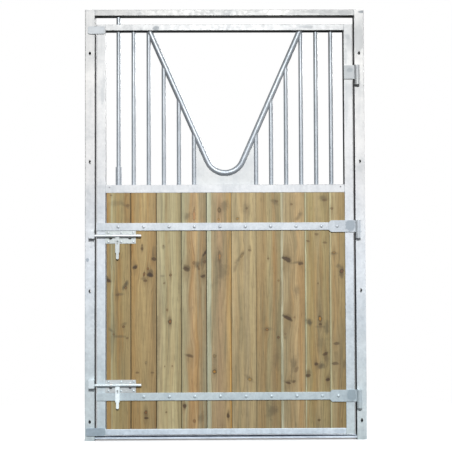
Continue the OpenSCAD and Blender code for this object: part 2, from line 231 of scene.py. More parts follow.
def galvanised(name, bright, dull, rough, spangle, patches=(), grain=1.0, metal=0.3, painted_shade=()):
    """Zinc, hot-dipped or plated: pale cloudy metal with faint crystals (spangle is their width), soft
    runs, dull grey patches, some where it cooled slowly and some painted shade, and painted shade in
    gaps, under parts, round holes and on faces turned from the lamps. A patch or a painted shade mark
    is its centre, its half widths and its strength."""
    steel = bpy.data.materials.new(name)
    steel.use_nodes = True
    tree = steel.node_tree
    tree.nodes.clear()
    spot = add(tree, "ShaderNodeTexCoord", {}, {})["Object"]
    # Clouds about 110 mm across, specks about 9 mm, and runs 14 mm wide and 200 mm long
    cloud = add(tree, "ShaderNodeTexNoise", {},
                {"Vector": spot, "Scale": 9.0, "Detail": 5.0, "Roughness": 0.6})[0]
    speck = add(tree, "ShaderNodeTexNoise", {}, {"Vector": spot, "Scale": 110.0, "Detail": 3.0})[0]
    long = add(tree, "ShaderNodeMapping", {}, {"Vector": spot, "Scale": (70.0, 70.0, 5.0)})[0]
    run = add(tree, "ShaderNodeTexNoise", {}, {"Vector": long, "Scale": 1.0, "Detail": 2.0})[0]
    crystal = add(tree, "ShaderNodeTexVoronoi", {}, {"Vector": spot, "Scale": 1.0 / spangle})["Color"]
    face = add(tree, "ShaderNodeSeparateColor", {}, {0: crystal})[0]
    height = add(tree, "ShaderNodeSeparateXYZ", {}, {0: spot})["Z"]
    mixed = add(tree, "ShaderNodeMath", {"operation": "MULTIPLY_ADD"}, {0: speck, 1: 0.22, 2: cloud})[0]
    mixed = add(tree, "ShaderNodeMath", {"operation": "MULTIPLY_ADD"}, {0: run, 1: 0.25, 2: mixed})[0]
    wear_and_painted_shade = add(tree, "ShaderNodeMapRange", {"interpolation_type": "SMOOTHSTEP"},
               {"Value": mixed, "From Min": 0.55, "From Max": 1.05, "To Max": 0.5})["Result"]
    # Patches dull the zinc toward its dull tone, and painted shade marks darken it toward near black
    painted_shade_mask = 0.0
    for kind, (centre, reach, amount) in [("dull", p) for p in patches] + [("painted_shade", g) for g in painted_shade]:
        off = add(tree, "ShaderNodeVectorMath", {"operation": "SUBTRACT"}, {0: spot, 1: centre})[0]
        off = add(tree, "ShaderNodeVectorMath", {"operation": "DIVIDE"}, {0: off, 1: reach})[0]
        off = add(tree, "ShaderNodeVectorMath", {"operation": "LENGTH"}, {0: off})["Value"]
        off = add(tree, "ShaderNodeMath", {"operation": "MULTIPLY_ADD"}, {0: speck, 1: 0.9, 2: off})[0]
        inside = add(tree, "ShaderNodeMapRange", {"interpolation_type": "SMOOTHSTEP"},
                     {"Value": off, "From Min": 1.55, "From Max": 1.2, "To Max": amount})["Result"]
        if kind == "dull":
            wear_and_painted_shade = add(tree, "ShaderNodeMath", {"operation": "MAXIMUM"}, {0: wear_and_painted_shade, 1: inside})[0]
        else:
            painted_shade_mask = add(tree, "ShaderNodeMath", {"operation": "MAXIMUM"}, {0: painted_shade_mask, 1: inside})[0]
    tone = add(tree, "ShaderNodeMix", {"data_type": "RGBA"},
               {0: wear_and_painted_shade, 6: colour(bright), 7: colour(dull)})[2]
    glint = add(tree, "ShaderNodeMapRange", {}, {"Value": face, "To Min": 0.93, "To Max": 1.03})["Result"]
    tone = add(tree, "ShaderNodeVectorMath", {"operation": "SCALE"}, {0: tone, "Scale": glint})[0]
    # Painted light over the gate's two metres: paler and bluer near the ground, a painted reflection
    # that also makes up for weaker lamp light there, and darker toward the top, painted shade against
    # the lamp's highlight
    painted_light_by_height = add(tree, "ShaderNodeMapRange", {},
                    {"Value": height, "From Min": 0.0, "From Max": 2.0})["Result"]
    painted_light_by_height = add(tree, "ShaderNodeValToRGB", {"stops": [
        (0.0, colour("F0FDFF")), (0.42, colour("F4F9FE")), (0.66, colour("E1E0DF")),
        (0.90, colour("D6D4D1")), (1.0, colour("BEBDBB"))]}, {"Fac": painted_light_by_height})["Color"]
    tone = add(tree, "ShaderNodeVectorMath", {"operation": "MULTIPLY"}, {0: tone, 1: painted_light_by_height})[0]
    # Painted shade: near black mixed in where the shade marks lie
    tone = add(tree, "ShaderNodeMix", {"data_type": "RGBA"}, {0: painted_shade_mask, 6: tone, 7: colour("3A3B3A")})[2]
    gloss = add(tree, "ShaderNodeMapRange", {},
                {"Value": face, "To Min": rough - 0.05, "To Max": rough + 0.05})["Result"]
    gloss = add(tree, "ShaderNodeMath", {"operation": "MULTIPLY_ADD"}, {0: wear_and_painted_shade, 1: 0.14, 2: gloss})[0]
    relief = add(tree, "ShaderNodeMath", {"operation": "MULTIPLY_ADD"}, {0: speck, 1: 0.5, 2: run})[0]
    bump = add(tree, "ShaderNodeBump", {},
               {"Height": relief, "Distance": 0.0006 * grain, "Strength": 0.35})[0]
    skin = add(tree, "ShaderNodeBsdfPrincipled", {},
               {"Base Color": tone, "Metallic": metal, "Roughness": gloss, "Normal": bump})["BSDF"]
    add(tree, "ShaderNodeOutputMaterial", {}, {"Surface": skin})
    return steel


# Painted shade in and round each fixing hole, on the faces inside the gaps, and down the latch
# post's outer corner, which faces away from the lamps
HOLE_HEIGHTS = (0.095, 0.740, 1.385, 1.930)
post_painted_shade = [((x, -0.05, z - 0.001), (0.0058, 0.02, 0.0112), 0.9)
              for x in (-1.350, 0.0) for z in HOLE_HEIGHTS]
for x in (-1.325, -0.025):
    post_painted_shade.append(((x, -0.025, 1.06), (0.0014, 0.3, 9.0), 0.75))
    post_painted_shade.append(((x, -0.025, 0.45), (0.0027, 0.3, 0.62), 0.75))
post_painted_shade.append(((-1.375, -0.05, 1.30), (0.0036, 0.06, 1.00), 0.30))
post_zinc = galvanised("hot_dip_zinc_on_posts", "DDDEDF", "A3AAB1", 0.48, 0.011, [
    ((-0.004, -0.05, 2.000), (0.030, 0.06, 0.085), 0.40),
    ((0.012, -0.05, 2.138), (0.016, 0.06, 0.007), 0.9),
    ((-1.362, -0.05, 0.896), (0.009, 0.06, 0.011), 0.9),
    ((-1.346, -0.05, 0.960), (0.006, 0.06, 0.006), 0.3)],
    painted_shade=post_painted_shade)
for node in ("latch_post", "hinge_post"):
    post = from_node(node + "_tube", node, POST_CORNER, 5, corners(UPRIGHT))
    coat(post, post_zinc)

# Head rail: 50 x 30 x 3 mm rectangular tube welded between the posts, with a hole
# underneath for the lock rod, galvanised with them. Its zinc is painted the darkest of the
# frame's, as shade against the lamp's highlight that falls on it.
RAIL_CORNER = 0.002
LEVEL = 0
head_rail_shaded_zinc = galvanised("hot_dip_zinc_on_head_rail", "C9CACA", "A8AFB5", 0.48, 0.011, [
    ((-0.20, -0.05, 2.140), (0.09, 0.06, 0.010), 0.4),
    ((-0.075, -0.05, 2.135), (0.04, 0.06, 0.014), 0.5)])
head_rail = from_node("head_rail_tube", "head_rail", RAIL_CORNER, 4, corners(LEVEL))
coat(head_rail, head_rail_shaded_zinc)

# Sill: 50 x 8 mm flat bar welded between the feet of the posts. Its edges are rounded by
# rolling, and its top is painted dark behind its pale front edge, as the shade under the leaf.
sill_zinc = galvanised("hot_dip_zinc_on_sill", "F4F5FF", "7C8397", 0.52, 0.010, [
    # Painted shade on the sill's top, under the leaf
    ((-0.675, -0.020, 0.0176), (0.80, 0.060, 0.0012), 0.95)])
sill = from_node("sill_flat_bar", "sill_bar", 0.0012, 2, corners(LEVEL))
coat(sill, sill_zinc)

# Frame welds: short fillet runs where the head rail and the sill meet the posts, made before
# the frame was dipped, so the same zinc lies over them, greyer and rougher.
BEAD_STEP = 0.0025
LEVEL_WELD = 0.0022


def bead(shape, start, end, radius, seed):
    """A weld run from start to end: a ring pushed along in short steps that swell and shrink."""
    centre = Vector(start)
    along = Vector(end) - centre
    steps = max(3, round(along.length / BEAD_STEP))
    dice = random.Random(seed)
    turn = along.to_track_quat("Z", "Y").to_matrix().to_4x4()
    size = 0.7
    ring = bmesh.ops.create_circle(shape, cap_ends=True, segments=8, radius=radius * size,
                                   matrix=Matrix.Translation(centre) @ turn)["verts"]
    edges = list({e for v in ring for e in v.link_edges})
    for step in range(steps):
        grown = bmesh.ops.extrude_edge_only(shape, edges=edges)["geom"]
        points = [g for g in grown if isinstance(g, bmesh.types.BMVert)]
        edges = [g for g in grown if isinstance(g, bmesh.types.BMEdge)]
        move = along / steps
        bmesh.ops.translate(shape, verts=points, vec=move)
        centre = centre + move
        wanted = 0.6 if step == steps - 1 else 0.92 + 0.16 * (step % 2) + dice.uniform(-0.1, 0.1)
        bmesh.ops.scale(shape, verts=points, vec=Vector((1, 1, 1)) * (wanted / size),
                        space=Matrix.Translation(-centre))
        size = wanted
    bmesh.ops.contextual_create(shape, geom=edges)


def group(name, shape, material, body):
    """Many small closed shapes as one smooth piece."""
    bmesh.ops.recalc_face_normals(shape, faces=shape.faces)
    piece = placed(name, shape)
    piece.data.shade_smooth()
    piece.data.materials.append(material)
    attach(piece, body)
    return piece


def weld_runs(name, body, runs):
    """All the weld runs of one group as one piece: (start, end, radius) each, in metres."""
    shape = bmesh.new()
    for number, (start, end, radius) in enumerate(runs):
        bead(shape, start, end, radius, number)
    group(name, shape, weld_zinc, body)


def upright_run(x, y, low, high, radius):
    """A run up a rail's end, 3 mm short of its top and bottom."""
    return (x, y, low.z + 0.003), (x, y, high.z - 0.003), radius


def level_run(x, z, low, high, short):
    """A run from front to back over or under a rail's end, stopping short of both faces."""
    return (x, low.y + short, z), (x, high.y - short, z), LEVEL_WELD


weld_zinc = galvanised("hot_dip_zinc_over_weld", "BCC1C6", "969EA6", 0.56, 0.006)
low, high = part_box("head_rail")
sill_low, sill_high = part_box("sill_bar")
runs = []
for x in (low.x, high.x):
    runs.append(upright_run(x, low.y + 0.001, low, high, 0.0016))
    runs.append(upright_run(x, high.y - 0.002, low, high, 0.0016))
    runs.append(level_run(x, low.z, low, high, 0.004))
    runs.append(level_run(x, sill_high.z, sill_low, sill_high, 0.003))
weld_runs("frame_welds", "frame", runs)

# Hinge pins: a turned pin standing on a short boss that is welded to the hinge post. The boss
# keeps the dull grey zinc that a thick piece gets.
BOSS_HEIGHT = 0.030
BOSS_WELD_Y = -0.0505
pin_zinc = galvanised("dull_zinc_on_hinge_pins", "C8CCCE", "949DA4", 0.48, 0.007, grain=1.6)
runs = []
for node in ("lower_hinge_pin", "middle_hinge_pin", "top_hinge_pin"):
    coat(frame["nodes"][node], pin_zinc)
    low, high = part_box(node)
    top = low.z + BOSS_HEIGHT
    runs.append(((high.x - 0.004, BOSS_WELD_Y, top - 0.001),
                 (high.x + 0.006, BOSS_WELD_Y, top + 0.003), LEVEL_WELD))
    for x in (high.x - 0.003, low.x + 0.003):
        runs.append(((x, BOSS_WELD_Y, low.z + 0.002), (x, BOSS_WELD_Y, top - 0.003), 0.0018))
weld_runs("hinge_boss_welds", "frame", runs)

# Keepers: 28 x 4 mm flat bar bent into a box loop and welded on the latch post. Their plated
# zinc is smoother and brighter than dipped zinc, and the lower one's is a paler, less metallic
# copy, painted light that makes up for the weaker lamp light low down.
FLAT_EDGE = 0.0010
fitting_zinc = galvanised("bright_zinc_plate_on_fittings", "EAEBEC", "AEB5BA", 0.38, 0.004,
                          grain=0.5, metal=0.45)
lower_keeper_lit_zinc = galvanised("lit_zinc_plate_on_lower_keeper", "E9EAEC", "CACED2", 0.40, 0.004,
                        grain=0.5, metal=0.1)


def crisp(edge, low, high):
    """Chooses every edge where two faces turn by more than 40 degrees."""
    return edge.calc_face_angle(0.0) > math.radians(40)


for node, zinc in (("upper_keeper", fitting_zinc), ("lower_keeper", lower_keeper_lit_zinc)):
    keeper = from_node(node + "_loop", node, FLAT_EDGE, 2, crisp)
    coat(keeper, zinc)

# Leaf tubes: 50 mm deep rectangular tube, two 45 mm stiles with 30 mm top and bottom rails
# and a 40 mm rail over the boards welded between them, then dipped as one piece. Painted shade
# darkens the stiles' outer faces in the gaps, the hinge stile's inner face and the leaf's foot.
leaf_zinc = galvanised("hot_dip_zinc_on_leaf", "DADCDE", "A2ABB3", 0.48, 0.011, [
    # Faint painted shade over the top rail, against the lamp's highlight
    ((-0.675, -0.05, 2.060), (0.560, 0.06, 0.030), 0.14),
    ((-1.019, -0.05, 2.056), (0.019, 0.06, 0.013), 0.75),
    ((-0.262, -0.05, 2.062), (0.042, 0.06, 0.009), 0.5),
    ((-0.058, -0.05, 2.012), (0.012, 0.06, 0.014), 0.45),
    ((-0.068, -0.05, 1.915), (0.010, 0.06, 0.045), 0.35),
    ((-0.066, -0.05, 1.700), (0.010, 0.06, 0.160), 0.35),
    ((-1.287, -0.05, 1.720), (0.010, 0.06, 0.050), 0.4)],
    # Painted shade on the faces inside the gaps beside the stiles and on the hinge stile's inner face
    painted_shade=[((-0.078, -0.025, 1.06), (0.0012, 0.3, 9.0), 0.8),
           ((-1.317, -0.025, 1.06), (0.0030, 0.3, 9.0), 0.75),
           ((-0.033, -0.025, 1.06), (0.0030, 0.3, 9.0), 0.75)])
foot_zinc = galvanised("hot_dip_zinc_on_bottom_rail", "E8E9F1", "ADB5C2", 0.48, 0.011, [
    ((-0.110, -0.05, 0.043), (0.030, 0.06, 0.012), 0.4)],
    # Painted shade along the bottom rail's lower edge, over the dark gap above the sill
    painted_shade=[((-0.675, -0.05, 0.028), (0.72, 0.06, 0.0036), 0.6)])
for node, axis, zinc in (
        ("latch_stile", UPRIGHT, leaf_zinc), ("hinge_stile", UPRIGHT, leaf_zinc),
        ("top_rail", LEVEL, leaf_zinc), ("mid_rail", LEVEL, leaf_zinc), ("bottom_rail", LEVEL, foot_zinc)):
    tube = from_node(node + "_tube", node, RAIL_CORNER, 4, corners(axis))
    coat(tube, zinc)
runs = []
for node in ("top_rail", "mid_rail", "bottom_rail"):
    low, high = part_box(node)
    for x in (low.x, high.x):
        runs.append(upright_run(x, low.y + 0.001, low, high, 0.0013))
        runs.append(upright_run(x, high.y - 0.001, low, high, 0.0015))
        if node != "bottom_rail":
            runs.append(level_run(x, high.z, low, high, 0.004))
        if node == "top_rail":
            runs.append(level_run(x, low.z, low, high, 0.004))
weld_runs("leaf_corner_welds", "leaf", runs)

# Grille: 21.3 mm round bars and a 30 mm tube bent to a V, coped, welded on and galvanised.
# Drawn tube stays smoother than the square sections.
bar_zinc = galvanised("hot_dip_zinc_on_round_bars", "C2CAD2", "929DA8", 0.44, 0.009, grain=0.6, metal=0.5)
bars = ["left_bar_%d" % n for n in range(1, 6)] + ["right_bar_%d" % n for n in range(1, 7)]
for node in bars + ["v_tube", "rod_sleeve"]:
    coat(frame["nodes"][node], bar_zinc)

BAR_WELD = (0.0107, 0.0017)
SLEEVE_WELD = (0.0150, 0.0018)


def ring_weld(shape, low, high, z, weld):
    """A fillet weld round a bar or sleeve at height z, (radius, thickness): a small ring spun round."""
    radius, thick = weld
    centre = Vector(((low.x + high.x) / 2, (low.y + high.y) / 2, z))
    start = Matrix.Translation(centre + Vector((radius, 0, 0))) @ Matrix.Rotation(math.pi / 2, 4, "X")
    ring = bmesh.ops.create_circle(shape, cap_ends=False, segments=8, radius=thick, matrix=start)["verts"]
    geom = ring + list({e for v in ring for e in v.link_edges})
    bmesh.ops.spin(shape, geom=geom, cent=centre, axis=(0, 0, 1), angle=2 * math.pi,
                   steps=28, use_merge=True)


shape = bmesh.new()
# Only the outer bars reach the top rail, and the others end in the V tube
rail_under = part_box("top_rail")[0].z - 0.001
for node in bars:
    low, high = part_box(node)
    ring_weld(shape, low, high, low.z, BAR_WELD)
    if high.z > rail_under:
        ring_weld(shape, low, high, high.z, BAR_WELD)
low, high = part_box("rod_sleeve")
ring_weld(shape, low, high, low.z, SLEEVE_WELD)
bmesh.ops.remove_doubles(shape, verts=shape.verts, dist=SAME_PLACE)
group("bar_welds", shape, weld_zinc, "leaf")

# Sheet under the V: 3 mm galvanised sheet cut to the curve and welded in, with the clear
# crystal flowers of thin sheet.
sheet_zinc = galvanised("spangled_zinc_sheet", "CCCFD0", "AAB2B9", 0.45, 0.014)
coat(frame["nodes"]["gusset_sheet"], sheet_zinc)

# Lock rod: a length of the same round tube that slides up through the top rail into the
# head rail.
coat(frame["nodes"]["lock_rod"], bar_zinc)

# Boards: ten tongued and grooved pine boards, 30 mm thick, pressure treated and left bare,
# standing in the leaf between the stiles. Those on the latch side have dried and drawn
# apart, so their joints show as dark gaps. The others are still tight.
BOARD_FRONT = -0.0495
TONGUE_HALF = 0.0047
GROOVE_HALF = 0.0050
RING_STEP = 0.0072
SWAY = 0.030


def pine(name, left, width, sides, look, knots, stains, seed):
    """Treated pine sawn from a round log: growth rings that run out in long points, grain that flows
    round the knots, brown and grey-green streaks, dark tails beside the knots, and stains."""
    tones, strips, warm, ashen, heart, depth, tilt, foot, head = look
    wood = bpy.data.materials.new(name)
    wood.use_nodes = True
    tree = wood.node_tree
    tree.nodes.clear()
    spot = add(tree, "ShaderNodeTexCoord", {}, {})["Object"]
    part = add(tree, "ShaderNodeSeparateXYZ", {}, {0: spot})
    across, inward, along = part["X"], part["Y"], part["Z"]
    slow = add(tree, "ShaderNodeMapping", {},
               {"Vector": spot, "Location": (seed, seed * 2.0, seed * 3.0), "Scale": (7.0, 7.0, 1.9)})[0]
    sway = add(tree, "ShaderNodeTexNoise", {}, {"Vector": slow, "Scale": 1.0, "Detail": 3.0})[0]
    line = add(tree, "ShaderNodeMath", {"operation": "MULTIPLY_ADD"}, {0: sway, 1: SWAY, 2: across})[0]
    rough = add(tree, "ShaderNodeTexNoise", {}, {"Vector": spot, "Scale": 130.0, "Detail": 3.0})[0]
    lump = add(tree, "ShaderNodeTexNoise", {}, {"Vector": spot, "Scale": 38.0, "Detail": 2.0})[0]
    spots = []
    for x, z, wide, tall, lean, core, amount in knots:
        centre = (left + x / 1000, BOARD_FRONT, z / 1000)
        near = add(tree, "ShaderNodeMapping", {"vector_type": "TEXTURE"},
                   {"Vector": spot, "Location": centre, "Rotation": (0, math.radians(lean), 0),
                    "Scale": (wide / 1000, 0.4, tall / 1000)})[0]
        near = add(tree, "ShaderNodeVectorMath", {"operation": "LENGTH"}, {0: near})["Value"]
        reach = add(tree, "ShaderNodeMapping", {"vector_type": "TEXTURE"},
                    {"Vector": spot, "Location": centre, "Rotation": (0, math.radians(lean * 0.3), 0),
                     "Scale": (wide / 1000, 0.4, max(tall, wide) * 3.0 / 1000)})[0]
        reach = add(tree, "ShaderNodeVectorMath", {"operation": "LENGTH"}, {0: reach})["Value"]
        spots.append((near, reach, core, amount))
        push = add(tree, "ShaderNodeMapRange", {"interpolation_type": "SMOOTHSTEP"},
                   {"Value": reach, "From Min": 3.0, "From Max": 0.2, "To Max": 0.8})["Result"]
        gap = add(tree, "ShaderNodeMath", {"operation": "SUBTRACT"}, {0: centre[0], 1: across})[0]
        line = add(tree, "ShaderNodeMath", {"operation": "MULTIPLY_ADD"}, {0: gap, 1: push, 2: line})[0]
    fibre = add(tree, "ShaderNodeCombineXYZ", {}, {"X": line, "Y": inward, "Z": along})[0]
    # The sway noise averages a half, so line runs SWAY / 2 to the right of the true place
    place = add(tree, "ShaderNodeMapRange", {},
                {"Value": line, "From Min": left + SWAY / 2, "From Max": left + width + SWAY / 2})["Result"]
    tone = add(tree, "ShaderNodeValToRGB", {"stops": [(p, colour(c)) for p, c in tones]},
               {"Fac": place})["Color"]
    ripple = add(tree, "ShaderNodeMapping", {},
                 {"Vector": spot, "Location": (seed, 0.0, seed), "Scale": (3.0, 3.0, 9.0)})[0]
    ripple = add(tree, "ShaderNodeTexNoise", {}, {"Vector": ripple, "Scale": 1.0, "Detail": 2.0})[0]
    for x, half, sweep, tint, amount in strips:
        middle = add(tree, "ShaderNodeMath", {"operation": "MULTIPLY_ADD"},
                     {0: ripple, 1: sweep / 500, 2: across})[0]
        middle = add(tree, "ShaderNodeMath", {"operation": "SUBTRACT"},
                     {0: middle, 1: left + (x + sweep) / 1000})[0]
        middle = add(tree, "ShaderNodeMath", {"operation": "ABSOLUTE"}, {0: middle})[0]
        share = add(tree, "ShaderNodeMapRange", {"interpolation_type": "SMOOTHSTEP"},
                    {"Value": middle, "From Min": (half + 1.5) / 1000, "From Max": (half - 1.0) / 1000,
                     "To Max": amount})["Result"]
        tone = add(tree, "ShaderNodeMix", {"data_type": "RGBA"}, {0: share, 6: tone, 7: colour(tint)})[2]

    # Brown and grey streaks about 30 mm wide and 600 mm long, broad grain 10 mm wide, fine grain
    # 2 mm wide, which is coarser than real fibre so that it shows, and ticks 5 mm by 60 mm
    streaks = []
    for stretch, detail in (((34.0, 12.0, 1.5), 3.0), ((27.0, 12.0, 1.9), 3.0), ((95.0, 20.0, 2.2), 3.0),
                            ((430.0, 60.0, 6.0), 2.0), ((190.0, 40.0, 17.0), 1.0)):
        shift = seed * (3.0 + len(streaks))
        drawn = add(tree, "ShaderNodeMapping", {},
                    {"Vector": fibre, "Location": (shift, 0.0, shift), "Scale": stretch})[0]
        drawn = add(tree, "ShaderNodeTexNoise", {}, {"Vector": drawn, "Scale": 1.0, "Detail": detail})[0]
        streaks.append(drawn)
    brown, grey, broad, fine, tick = streaks
    for streak, most, tint in ((brown, warm, "93682F"), (grey, ashen, "716C52")):
        share = add(tree, "ShaderNodeMapRange", {"interpolation_type": "SMOOTHSTEP"},
                    {"Value": streak, "From Min": 0.46, "From Max": 0.70, "To Max": most})["Result"]
        tone = add(tree, "ShaderNodeMix", {"data_type": "RGBA"}, {0: share, 6: tone, 7: colour(tint)})[2]

    # Growth rings about the heart of the log, which lies behind the board and slants along it.
    # They are drawn about twice as wide as real ones so that they show.
    slant = add(tree, "ShaderNodeMath", {"operation": "MULTIPLY_ADD"}, {0: along, 1: tilt, 2: inward})[0]
    slice_ = add(tree, "ShaderNodeCombineXYZ", {}, {"X": line, "Y": slant})[0]
    heart_at = (left + SWAY / 2 + heart * width, BOARD_FRONT + depth, 0.0)
    ring = add(tree, "ShaderNodeVectorMath", {"operation": "DISTANCE"}, {0: slice_, 1: heart_at})["Value"]
    ring = add(tree, "ShaderNodeMath", {"operation": "DIVIDE"}, {0: ring, 1: RING_STEP})[0]
    ring = add(tree, "ShaderNodeMath", {"operation": "MULTIPLY_ADD"}, {0: broad, 1: 1.6, 2: ring})[0]
    ring = add(tree, "ShaderNodeMath", {"operation": "FRACT"}, {0: ring})[0]
    late = add(tree, "ShaderNodeValToRGB", {"stops": [
        (0.0, (0.2, 0.2, 0.2, 1)), (0.10, (0, 0, 0, 1)), (0.55, (0.1, 0.1, 0.1, 1)), (0.90, (1, 1, 1, 1)),
        (1.0, (0.2, 0.2, 0.2, 1))]}, {"Fac": ring})["Color"]
    level = 1.0
    for value, start, stop, to_start, to_stop in (
            (late, 0.0, 1.0, 1.04, 0.84), (broad, 0.34, 0.68, 1.08, 0.84), (fine, 0.3, 0.7, 1.09, 0.87),
            (tick, 0.60, 0.76, 1.0, 0.72), (lump, 0.3, 0.7, 0.96, 1.04), (along, 0.05, 1.23, foot, head)):
        share = add(tree, "ShaderNodeMapRange", {},
                    {"Value": value, "From Min": start, "From Max": stop,
                     "To Min": to_start, "To Max": to_stop})["Result"]
        level = add(tree, "ShaderNodeMath", {"operation": "MULTIPLY"}, {0: level, 1: share})[0]
    tone = add(tree, "ShaderNodeVectorMath", {"operation": "SCALE"}, {0: tone, "Scale": level})[0]

    for x, z, wide, tall, lean, amount in stains:
        near = add(tree, "ShaderNodeMapping", {"vector_type": "TEXTURE"},
                   {"Vector": spot, "Location": (left + x / 1000, BOARD_FRONT, z / 1000),
                    "Rotation": (0, math.radians(lean), 0), "Scale": (wide / 1000, 0.4, tall / 1000)})[0]
        near = add(tree, "ShaderNodeVectorMath", {"operation": "LENGTH"}, {0: near})["Value"]
        for noise, much in ((lump, 0.9), (fine, 1.1), (rough, 0.5)):
            near = add(tree, "ShaderNodeMath", {"operation": "MULTIPLY_ADD"},
                       {0: noise, 1: much, 2: near})[0]
        inside = add(tree, "ShaderNodeMapRange", {"interpolation_type": "SMOOTHSTEP"},
                     {"Value": near, "From Min": 2.35, "From Max": 1.45, "To Max": amount})["Result"]
        tone = add(tree, "ShaderNodeMix", {"data_type": "RGBA"},
                   {0: inside, 6: tone, 7: colour("4E4636")})[2]
    for near, reach, core, amount in spots:
        tail = add(tree, "ShaderNodeMath", {"operation": "MULTIPLY_ADD"}, {0: fine, 1: 1.6, 2: reach})[0]
        tail = add(tree, "ShaderNodeMapRange", {"interpolation_type": "SMOOTHSTEP"},
                   {"Value": tail, "From Min": 2.5, "From Max": 0.9, "To Max": 0.55 * amount})["Result"]
        tone = add(tree, "ShaderNodeMix", {"data_type": "RGBA"}, {0: tail, 6: tone, 7: colour("6E5A3A")})[2]
        ragged = add(tree, "ShaderNodeMath", {"operation": "MULTIPLY_ADD"}, {0: rough, 1: 0.9, 2: near})[0]
        ragged = add(tree, "ShaderNodeMath", {"operation": "MULTIPLY_ADD"}, {0: lump, 1: 0.9, 2: ragged})[0]
        edge = add(tree, "ShaderNodeMapRange", {"interpolation_type": "SMOOTHSTEP"},
                   {"Value": ragged, "From Min": 2.25, "From Max": 1.65, "To Max": 0.85 * amount})["Result"]
        tone = add(tree, "ShaderNodeMix", {"data_type": "RGBA"}, {0: edge, 6: tone, 7: colour("3A2C1E")})[2]
        inside = add(tree, "ShaderNodeMapRange", {"interpolation_type": "SMOOTHSTEP"},
                     {"Value": ragged, "From Min": 1.75, "From Max": 1.25,
                      "To Max": 0.97 * amount})["Result"]
        tone = add(tree, "ShaderNodeMix", {"data_type": "RGBA"}, {0: inside, 6: tone, 7: colour(core)})[2]
    # Arrises and joint faces, darker with dust and treatment salts and with painted shade, more
    # where the gap beside them is wide
    for (side, dust_and_shade), way in zip(sides, (1.0, -1.0)):
        inset = add(tree, "ShaderNodeMath", {"operation": "MULTIPLY_ADD"},
                    {0: across, 1: way, 2: -way * side})[0]
        arris_level = add(tree, "ShaderNodeMapRange", {"interpolation_type": "SMOOTHSTEP"},
                    {"Value": inset, "From Min": 0.0004, "From Max": 0.0022,
                     "To Min": dust_and_shade, "To Max": 1.0})["Result"]
        tone = add(tree, "ShaderNodeVectorMath", {"operation": "SCALE"}, {0: tone, "Scale": arris_level})[0]
    relief = add(tree, "ShaderNodeMath", {"operation": "MULTIPLY_ADD"}, {0: late, 1: 0.5, 2: fine})[0]
    relief = add(tree, "ShaderNodeMath", {"operation": "ADD"}, {0: relief, 1: broad})[0]
    bump = add(tree, "ShaderNodeBump", {}, {"Height": relief, "Distance": 0.0008, "Strength": 0.5})[0]
    skin = add(tree, "ShaderNodeBsdfPrincipled", {},
               {"Base Color": tone, "Roughness": 0.72, "IOR": 1.45, "Normal": bump})["BSDF"]
    add(tree, "ShaderNodeOutputMaterial", {}, {"Surface": skin})
    return wood


